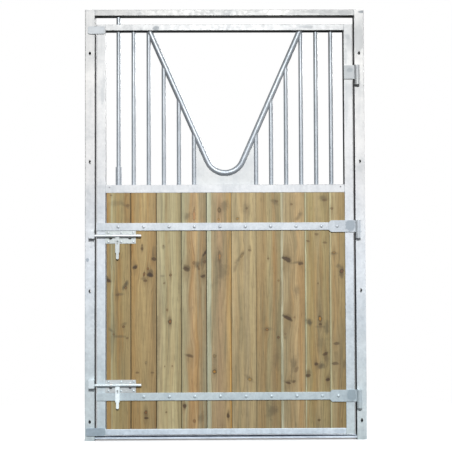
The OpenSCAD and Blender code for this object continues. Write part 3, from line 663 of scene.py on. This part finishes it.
# Each board: width and front gap to the next one, in mm; its look, as tones across it, strips
# of another colour (middle, half width, sweep, colour, strength), brown share, grey-green share,
# heart of the log across it, depth and slant, and how light it is at its foot and head; its
# knots as (from its left edge, height, half width, half height, lean, core colour, strength);
# and its stains the same way without the colour.
BOARDS = [
    (127.5, 2.8, ([(0.0, "A07B4C"), (0.12, "A08655"), (0.28, "9E9067"), (0.55, "96865C"),
                   (1.0, "9B865C")],
                  [(31, 4, 4, "B4B596", 0.5)], 0.5, 0.5, 0.55, 0.040, 0.020, 0.97, 1.01),
     [(16, 792, 12, 8, 35, "4E3A28", 0.9), (101, 756, 7, 6, -30, "8A6740", 0.8),
      (60, 722, 7, 5, 0, "7A5A38", 0.5), (89, 564, 8, 6, -20, "7A5A38", 0.8),
      (40, 526, 5, 5, 0, "7A5A38", 0.5), (108, 507, 6, 5, 0, "6E5236", 0.5),
      (111, 1168, 9, 6, -20, "7C5C3A", 0.5), (28, 1218, 6, 4, 0, "7C5C3A", 0.45)],
     [(14, 800, 11, 34, -38, 0.9), (98, 768, 13, 32, 30, 0.9), (66, 724, 30, 9, -8, 0.5),
      (95, 578, 22, 12, -25, 0.45), (30, 545, 26, 9, 35, 0.5), (70, 515, 45, 9, 0, 0.45),
      (100, 1165, 26, 12, 30, 0.45), (60, 1180, 50, 24, 0, 0.3)]),
    (126.5, 2.0, ([(0.0, "9C7E4D"), (0.25, "A38B5E"), (0.55, "A48F63"), (0.8, "9F875C"),
                   (1.0, "8C7650")],
                  [], 0.5, 0.3, 0.50, 0.050, 0.026, 0.94, 1.05),
     [(54, 951, 6, 7, 0, "6A5034", 0.8), (54, 968, 5, 5, 0, "6A5034", 0.5),
      (113, 900, 12, 9, 25, "57422C", 0.85), (20, 858, 12, 7, -30, "4A3928", 0.9),
      (94, 819, 15, 10, 15, "3C3026", 0.95), (69, 792, 9, 6, 0, "6E5236", 0.8),
      (83, 851, 6, 6, 0, "8E6236", 0.85), (64, 823, 5, 12, 10, "7A5530", 0.8),
      (73, 386, 5, 7, 0, "A09070", 0.45), (30, 336, 9, 5, 0, "6E5236", 0.5),
      (104, 336, 9, 5, 0, "6E5236", 0.5), (73, 140, 8, 9, 0, "7A4E2A", 0.9),
      (73, 112, 11, 5, 0, "4E3A28", 0.85)],
     [(18, 862, 18, 10, -30, 0.8), (94, 830, 20, 24, -30, 0.8), (108, 905, 12, 26, 10, 0.5),
      (62, 802, 22, 12, 0, 0.45), (54, 955, 11, 26, 0, 0.5), (72, 128, 12, 26, 0, 0.5),
      (110, 940, 9, 40, 0, 0.4)]),
    (124.0, 1.8, ([(0.0, "9E916D"), (0.10, "B1A582"), (0.28, "B8AE86"), (0.42, "A0926C"),
                   (0.62, "B1A67F"), (0.82, "AA9E77"), (1.0, "8D805C")],
                  [], 0.25, 0.4, 0.30, 0.060, 0.015, 1.10, 0.89),
     [(69, 819, 7, 6, 0, "8A6A42", 0.8), (38, 779, 6, 5, 0, "8A6A42", 0.5),
      (52, 646, 6, 6, 0, "8A6A42", 0.55), (66, 587, 9, 11, 0, "8A5E34", 0.85),
      (77, 368, 4, 5, 0, "7C5C3A", 0.5), (40, 366, 3, 4, 0, "7C5C3A", 0.5),
      (47, 140, 5, 5, 0, "6E5236", 0.5), (34, 966, 5, 4, 0, "7C5C3A", 0.45)],
     [(30, 815, 16, 8, 0, 0.35), (64, 590, 16, 30, 0, 0.4), (36, 960, 10, 20, 0, 0.4),
      (112, 760, 8, 90, 0, 0.35), (8, 500, 9, 200, 0, 0.35)]),
    (126.0, 2.4, ([(0.0, "A39D7C"), (0.22, "A59976"), (0.46, "AF956E"), (0.56, "B89C6F"),
                   (0.68, "A08F6D"), (1.0, "8E8568")],
                  [], 0.5, 0.35, 0.55, 0.034, 0.030, 1.02, 0.96),
     [(118, 928, 7, 18, 35, "3E3024", 0.85), (23, 848, 19, 9, 22, "51402C", 0.85),
      (114, 885, 8, 7, 0, "6E5236", 0.5), (108, 814, 12, 7, -20, "54422F", 0.8),
      (60, 880, 6, 9, 0, "8A6A42", 0.5), (84, 856, 5, 12, -20, "6E5236", 0.5),
      (41, 418, 18, 6, 15, "6E5236", 0.55), (12, 170, 9, 9, 0, "54422F", 0.85),
      (62, 96, 7, 9, 0, "96643A", 0.55), (64, 1120, 8, 34, 0, "C08A5A", 0.45)],
     [(28, 858, 26, 13, 28, 0.85), (104, 886, 20, 44, 30, 0.5), (76, 872, 22, 18, 30, 0.55),
      (104, 812, 22, 12, 15, 0.45), (40, 420, 30, 10, 15, 0.5), (14, 172, 14, 26, 0, 0.45),
      (30, 1110, 20, 30, 30, 0.45), (96, 110, 20, 36, 25, 0.4)]),
    (123.5, 1.4, ([(0.0, "ABA782"), (0.05, "AFAB89"), (0.15, "ADA784"), (0.22, "A3926F"),
                   (0.5, "A18967"), (0.75, "A38D67"), (0.92, "B19462"), (1.0, "A69067")],
                  [(8, 13, 6, "AEAE94", 0.95), (119, 4, 2, "B98F4C", 0.8)],
                  0.35, 0.6, 0.62, 0.045, 0.024, 0.93, 1.05),
     [(63, 1143, 8, 14, 0, "7A6644", 0.85), (64, 909, 8, 28, 0, "B98548", 0.45),
      (36, 417, 9, 8, 0, "8E7A50", 0.5), (36, 339, 9, 10, 0, "A5762E", 0.85),
      (104, 121, 7, 11, 0, "54422F", 0.8), (60, 1096, 6, 6, 0, "B08A4A", 0.5)],
     [(104, 121, 9, 34, 0, 0.5), (86, 1160, 26, 40, 0, 0.45), (64, 905, 22, 60, 0, 0.35),
      (80, 830, 34, 60, 25, 0.35), (38, 380, 16, 60, 0, 0.35)]),
    (122.5, 1.0, ([(0.0, "B09E78"), (0.45, "AA966D"), (0.6, "9E8E6C"), (0.8, "AB9970"),
                   (1.0, "A3926D")],
                  [], 0.2, 0.45, 0.40, 0.048, 0.022, 0.91, 1.09),
     [(29, 1099, 10, 7, -30, "A5803C", 0.5), (52, 915, 6, 14, 35, "A08858", 0.45),
      (91, 941, 8, 6, 20, "7A5C3C", 0.5), (88, 300, 9, 8, 0, "B8944E", 0.45),
      (76, 1150, 6, 6, 0, "6E5A3C", 0.5)],
     [(40, 905, 12, 48, 38, 0.45), (20, 860, 12, 40, 20, 0.4), (86, 305, 40, 12, 35, 0.35),
      (76, 1146, 30, 40, 0, 0.3)]),
    (122.0, 0.4, ([(0.0, "9E8B64"), (0.3, "967F57"), (0.52, "9B8E68"), (0.72, "927C57"),
                   (1.0, "928660")],
                  [], 0.4, 0.5, 0.45, 0.042, 0.028, 0.92, 1.09),
     [(103, 1185, 8, 6, 0, "6E5236", 0.5), (52, 546, 8, 6, 0, "9A6E3C", 0.8),
      (109, 508, 7, 6, 0, "6E5236", 0.8), (60, 900, 5, 5, 0, "7C5C3A", 0.5),
      (112, 790, 5, 5, 0, "9A6E3C", 0.45)],
     [(75, 150, 32, 60, 10, 0.55), (55, 548, 36, 14, 0, 0.4), (95, 1180, 30, 14, 35, 0.45),
      (100, 400, 22, 60, 0, 0.3)]),
    (122.0, 0.8, ([(0.0, "BBB590"), (0.04, "A89B7D"), (0.2, "9D8D6A"), (0.45, "A28C65"),
                   (0.65, "AC956D"), (1.0, "A28E67")],
                  [(5, 6.5, 2, "B7B69B", 0.85)], 0.4, 0.45, 0.60, 0.038, 0.026, 1.01, 1.03),
     [(30, 895, 26, 10, 28, "4E4030", 0.9), (100, 874, 12, 7, -15, "5C4832", 0.8),
      (32, 605, 26, 8, 28, "4A3A2A", 0.9), (68, 606, 5, 5, 0, "9A6E3C", 0.45),
      (36, 281, 13, 6, 15, "5E4A34", 0.85), (62, 287, 8, 6, -30, "5E4A34", 0.55),
      (76, 347, 8, 16, 20, "746048", 0.4), (22, 524, 6, 6, 0, "9A7C5C", 0.45),
      (56, 1170, 6, 5, 0, "7C5C3A", 0.5)],
     [(32, 902, 34, 17, 28, 0.55), (34, 612, 32, 13, 28, 0.5), (84, 880, 40, 9, -10, 0.5),
      (62, 375, 20, 50, 10, 0.45), (80, 740, 18, 40, 0, 0.3), (40, 290, 34, 12, 0, 0.45),
      (92, 1110, 14, 34, 35, 0.45)]),
    (122.5, 0.8, ([(0.0, "AFAD85"), (0.04, "A2936B"), (0.25, "9C8C5F"), (0.52, "A5936B"),
                   (0.75, "9A8A60"), (1.0, "8D7C55")],
                  [(2, 3.5, 1, "C2C3A2", 0.85)], 0.35, 0.5, 0.50, 0.030, 0.034, 0.96, 1.01),
     [(58, 1020, 9, 6, 0, "7A6040", 0.5), (14, 986, 10, 5, 15, "7C5C3A", 0.55),
      (100, 978, 10, 5, 0, "6E5236", 0.5), (73, 600, 9, 14, 0, "B07E34", 0.85),
      (75, 571, 9, 6, 0, "5B4B36", 0.8), (64, 775, 5, 5, 0, "7C5C3A", 0.45),
      (98, 425, 14, 8, -20, "57422C", 0.85), (52, 374, 9, 7, 0, "54422F", 0.8),
      (11, 318, 13, 8, 0, "54422F", 0.8), (110, 297, 11, 7, 0, "4E3A28", 0.85),
      (64, 97, 7, 6, 0, "6A5636", 0.8), (100, 1190, 10, 6, 0, "6E5236", 0.5)],
     [(20, 580, 20, 28, -20, 0.85), (106, 555, 18, 44, 0, 0.55), (72, 560, 34, 9, 0, 0.5),
      (78, 366, 30, 22, -25, 0.8), (104, 405, 14, 46, 0, 0.55), (70, 640, 18, 60, 0, 0.3),
      (10, 330, 20, 24, 0, 0.55), (108, 300, 16, 16, 0, 0.5), (90, 1200, 34, 18, 0, 0.45),
      (78, 480, 36, 50, 0, 0.3)]),
    (77.5, 0.0, ([(0.0, "AEAB87"), (0.06, "9F906A"), (0.35, "9F8E68"), (0.6, "95815A"),
                  (1.0, "938056")],
                  [(4, 4.5, 2, "BCBB98", 0.5)], 0.4, 0.45, 0.50, 0.036, 0.020, 0.90, 1.09),
     [(12, 1148, 9, 6, 0, "7C5C3A", 0.55), (22, 928, 10, 6, 0, "A0783C", 0.5),
      (60, 835, 10, 9, 0, "6E4E38", 0.8), (30, 476, 12, 6, 0, "6E5A44", 0.5),
      (27, 376, 14, 7, 0, "6E5A44", 0.5)],
     [(58, 830, 16, 34, 0, 0.8), (46, 860, 20, 14, 0, 0.5), (32, 476, 24, 10, 0, 0.5),
      (30, 376, 26, 10, 0, 0.5), (70, 370, 10, 30, 0, 0.5), (24, 924, 26, 10, 0, 0.4)]),
]
STILE_GAP = 0.0045
low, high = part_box("timber_infill")
left = low.x
# The light left at a board's edge, less where the gap beside it is wide
before = 0.45
for number, (width, gap, look, knots, stains) in enumerate(BOARDS, 1):
    width = width / 1000
    begin = left + (STILE_GAP if number == 1 else 0.0)
    right = left + width - gap / 1000
    after = max(0.36, 1.0 - 0.32 * gap)
    shape = bmesh.new()
    middle = Vector(((begin + right) / 2, (low.y + high.y) / 2, (low.z + high.z) / 2))
    bmesh.ops.create_cube(shape, size=1.0, matrix=Matrix.Translation(middle)
                          @ Matrix.Diagonal((right - begin, high.y - low.y, high.z - low.z, 1)))
    arrises = [e for e in shape.edges if abs(e.verts[0].co.x - e.verts[1].co.x) < SAME_PLACE
               and abs(e.verts[0].co.y - e.verts[1].co.y) < SAME_PLACE]
    bmesh.ops.bevel(shape, geom=arrises, offset=0.0012 if gap > 1.2 else 0.0008, segments=2,
                    affect="EDGES", profile=0.5, material=-1)
    # A 9.4 mm tongue in a 10 mm groove, half way through the thickness
    for cut in (-GROOVE_HALF, -TONGUE_HALF, TONGUE_HALF, GROOVE_HALF):
        bmesh.ops.bisect_plane(shape, geom=shape.verts[:] + shape.edges[:] + shape.faces[:],
                               plane_co=(0, middle.y + cut, 0), plane_no=(0, 1, 0))
    for side, reach, half, wanted in ((right, 0.0065, TONGUE_HALF, number < len(BOARDS)),
                                      (left, 0.0070, GROOVE_HALF, number > 1)):
        if wanted:
            strip = [f for f in shape.faces if abs(f.calc_center_median().x - side) < 1e-5
                     and abs(f.calc_center_median().y - middle.y) < half]
            grown = bmesh.ops.extrude_face_region(shape, geom=strip)["geom"]
            bmesh.ops.delete(shape, geom=strip, context="FACES")
            points = [g for g in grown if isinstance(g, bmesh.types.BMVert)]
            bmesh.ops.translate(shape, vec=(reach, 0, 0), verts=points)
    board = placed("board_%d" % number, shape)
    sides = ((begin, before), (right, after))
    board.data.materials.append(pine("treated_pine_%d" % number, left, width, sides, look, knots,
                                     stains, number * 1.7))
    before = after
    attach(board, "leaf")
    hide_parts("timber_infill")
    left += width

# Straps: 38 x 5 mm flat bar right across the boards, welded to the latch stile and to the
# long hinge plates, and dipped with the leaf, which leaves them an even pale grey.
strap_zinc = galvanised("hot_dip_zinc_on_flat_bar", "D2D6D9", "A0A9B2", 0.46, 0.009)
for node in ("upper_strap", "lower_strap"):
    strap = from_node(node + "_bar", node, FLAT_EDGE, 2, crisp)
    coat(strap, strap_zinc)

# Hinge plates: 58 x 6 mm flat bar rolled into an eye. The long ones carry the straps, and the
# short top one is welded flat on the stile, where its zinc has gone mottled and grey.
plate_zinc = galvanised("mottled_zinc_on_hinge_plates", "C8CDD1", "929CA4", 0.50, 0.008, [
    ((-0.052, -0.057, 1.064), (0.026, 0.06, 0.036), 0.75),
    ((-0.052, -0.057, 0.222), (0.026, 0.06, 0.036), 0.75),
    ((-0.060, -0.057, 1.822), (0.050, 0.06, 0.060), 0.40),
    ((-0.048, -0.057, 1.842), (0.018, 0.06, 0.014), 0.65)])
for node in ("lower_hinge_plate", "middle_hinge_plate", "top_hinge_plate"):
    coat(frame["nodes"][node], plate_zinc)

# Strap bolts: M8 coach bolts, one to a board, their low domed heads in front and a washer
# and nut behind.
BOLT_FIRST = -1.2085
BOLT_PITCH = 0.1266
STILE_BOLT = -0.117
HINGE_PLATE_FRONT = -0.057
BOLT_HEAD = (0.0085, 0.0040)
# Each step of a nut from the wood out: radius, from, to, sides
NUT = ((0.010, 0.0, 0.0016, 24), (0.0075, 0.0016, 0.0081, 6), (0.004, 0.0081, 0.0105, 12))


def dome(shape, x, y, z, head):
    """A domed head, (radius, rise), spun from its profile on a face that looks along -Y."""
    radius, rise = head
    flat = [(0.0, rise), (0.42, rise * 0.93), (0.78, rise * 0.62), (0.96, rise * 0.22), (1.0, 0.0)]
    points = [shape.verts.new((x + radius * r, y - h, z)) for r, h in flat]
    edges = [shape.edges.new(pair) for pair in zip(points, points[1:])]
    bmesh.ops.spin(shape, geom=points + edges, cent=(x, y, z), axis=(0, 1, 0), angle=2 * math.pi,
                   steps=20, use_merge=True)
    bmesh.ops.remove_doubles(shape, verts=shape.verts, dist=1e-5)
    bmesh.ops.holes_fill(shape, edges=[e for e in shape.edges if e.is_boundary])


def nut(shape, x, y, z):
    """A washer and a hexagon nut on the back face, with the bolt's end standing out of it."""
    for radius, from_y, to_y, sides in NUT:
        middle = y + (from_y + to_y) / 2
        place = Matrix.Translation((x, middle, z)) @ Matrix.Rotation(math.pi / 2, 4, "X")
        made = bmesh.ops.create_cone(shape, cap_ends=True, segments=sides, radius1=radius, radius2=radius,
                                     depth=to_y - from_y, matrix=place)["verts"]
        rims = [e for e in {e for v in made for e in v.link_edges} if e.calc_face_angle(0) > 1.2]
        bmesh.ops.bevel(shape, geom=rims, offset=0.0003, segments=1, affect="EDGES",
                        profile=0.5, material=-1)


for strap_name, height in (("upper_strap", 1.060), ("lower_strap", 0.218)):
    heads = bmesh.new()
    nuts = bmesh.new()
    strap_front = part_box(strap_name)[0].y
    board_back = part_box("timber_infill")[1].y
    spots = [BOLT_FIRST + BOLT_PITCH * n for n in range(9)]
    for x in spots:
        dome(heads, x, strap_front, height, BOLT_HEAD)
    dome(heads, STILE_BOLT, HINGE_PLATE_FRONT, height, BOLT_HEAD)
    for x in spots + [STILE_BOLT]:
        nut(nuts, x, board_back, height)
    for label, shape in (("_bolt_heads", heads), ("_nuts", nuts)):
        bmesh.ops.remove_doubles(shape, verts=shape.verts, dist=SAME_PLACE)
        made = group(strap_name + label, shape, strap_zinc, "leaf")
        made.data.set_sharp_from_angle(angle=math.radians(40))

# Stop plates: short 39 x 5 mm flats with rounded corners, welded on the latch stile so that
# they lap over the latch post and stop the leaf. Their zinc is duller than the tube's, and the lower
# one's is painted darker still, as shade near the ground.
stop_zinc = galvanised("dull_zinc_on_stop_plates", "CCD2D8", "949EA7", 0.50, 0.008)
lower_stop_shaded_zinc = galvanised("dull_and_shaded_zinc_on_lower_stop_plate", "B4BBC4", "8A939C", 0.52, 0.008)
for node, zinc in (("upper_stop_plate", stop_zinc), ("lower_stop_plate", lower_stop_shaded_zinc)):
    stop = from_node(node + "_flat", node, FLAT_EDGE, 2, crisp)
    coat(stop, zinc)

# Bolt sets: a pressed plate with two guides, screwed on the boards by six pan-head screws,
# a 14 mm round bolt and a flat handle that hangs from it and drops over a staple. All are
# bright zinc plated; the upper set is painted greyer as shade and the lower handle painted almost
# white as the lamp's reflection.
PLATE_FRONT = -0.0525
GUIDES = (-1.2465, -1.1500)
SCREW_HEAD = (0.0060, 0.0034)
# Painted shadow darkens the plates under the guides
upper_guide_shadow = [((x, PLATE_FRONT, 1.0015), (0.0075, 0.02, 0.0065), 0.8) for x in GUIDES]
lower_guide_shadow = [((x, PLATE_FRONT, 0.2615), (0.0075, 0.02, 0.0060), 0.8) for x in GUIDES]
# The upper set's zinc is a greyer copy, painted shade, and the lower handle's a near white, less metallic
# copy, painted light for the lamp's reflection
upper_set_shaded_zinc = galvanised("shaded_zinc_plate_on_upper_set", "D3D7D3", "A4AAA8", 0.42, 0.004,
                          grain=0.5, metal=0.4, painted_shade=upper_guide_shadow)
plain_zinc = galvanised("zinc_plate_on_lower_plate", "E6E2E1", "B1AEAD", 0.38, 0.004,
                        grain=0.5, metal=0.45, painted_shade=lower_guide_shadow)
lower_handle_lit_zinc = galvanised("lit_zinc_plate_on_lower_handle", "FFFFFF", "E4E6E8", 0.40, 0.004,
                        grain=0.5, metal=0.05)
for node, zinc in (("upper_bolt_plate", upper_set_shaded_zinc), ("upper_bolt_handle", upper_set_shaded_zinc),
                   ("lower_bolt_plate", plain_zinc), ("lower_bolt_handle", lower_handle_lit_zinc),
                   ("upper_bolt_bar", fitting_zinc), ("lower_bolt_bar", fitting_zinc)):
    coat(frame["nodes"][node], zinc)
for plate_name in ("upper_bolt_plate", "lower_bolt_plate"):
    low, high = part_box(plate_name)
    shape = bmesh.new()
    for x in (low.x + 0.015, (low.x + high.x) / 2 + 0.002, high.x - 0.011):
        for z in (low.z + 0.009, high.z - 0.008):
            dome(shape, x, PLATE_FRONT, z, SCREW_HEAD)
    bmesh.ops.remove_doubles(shape, verts=shape.verts, dist=SAME_PLACE)
    group(plate_name + "_screws", shape, fitting_zinc, "leaf")
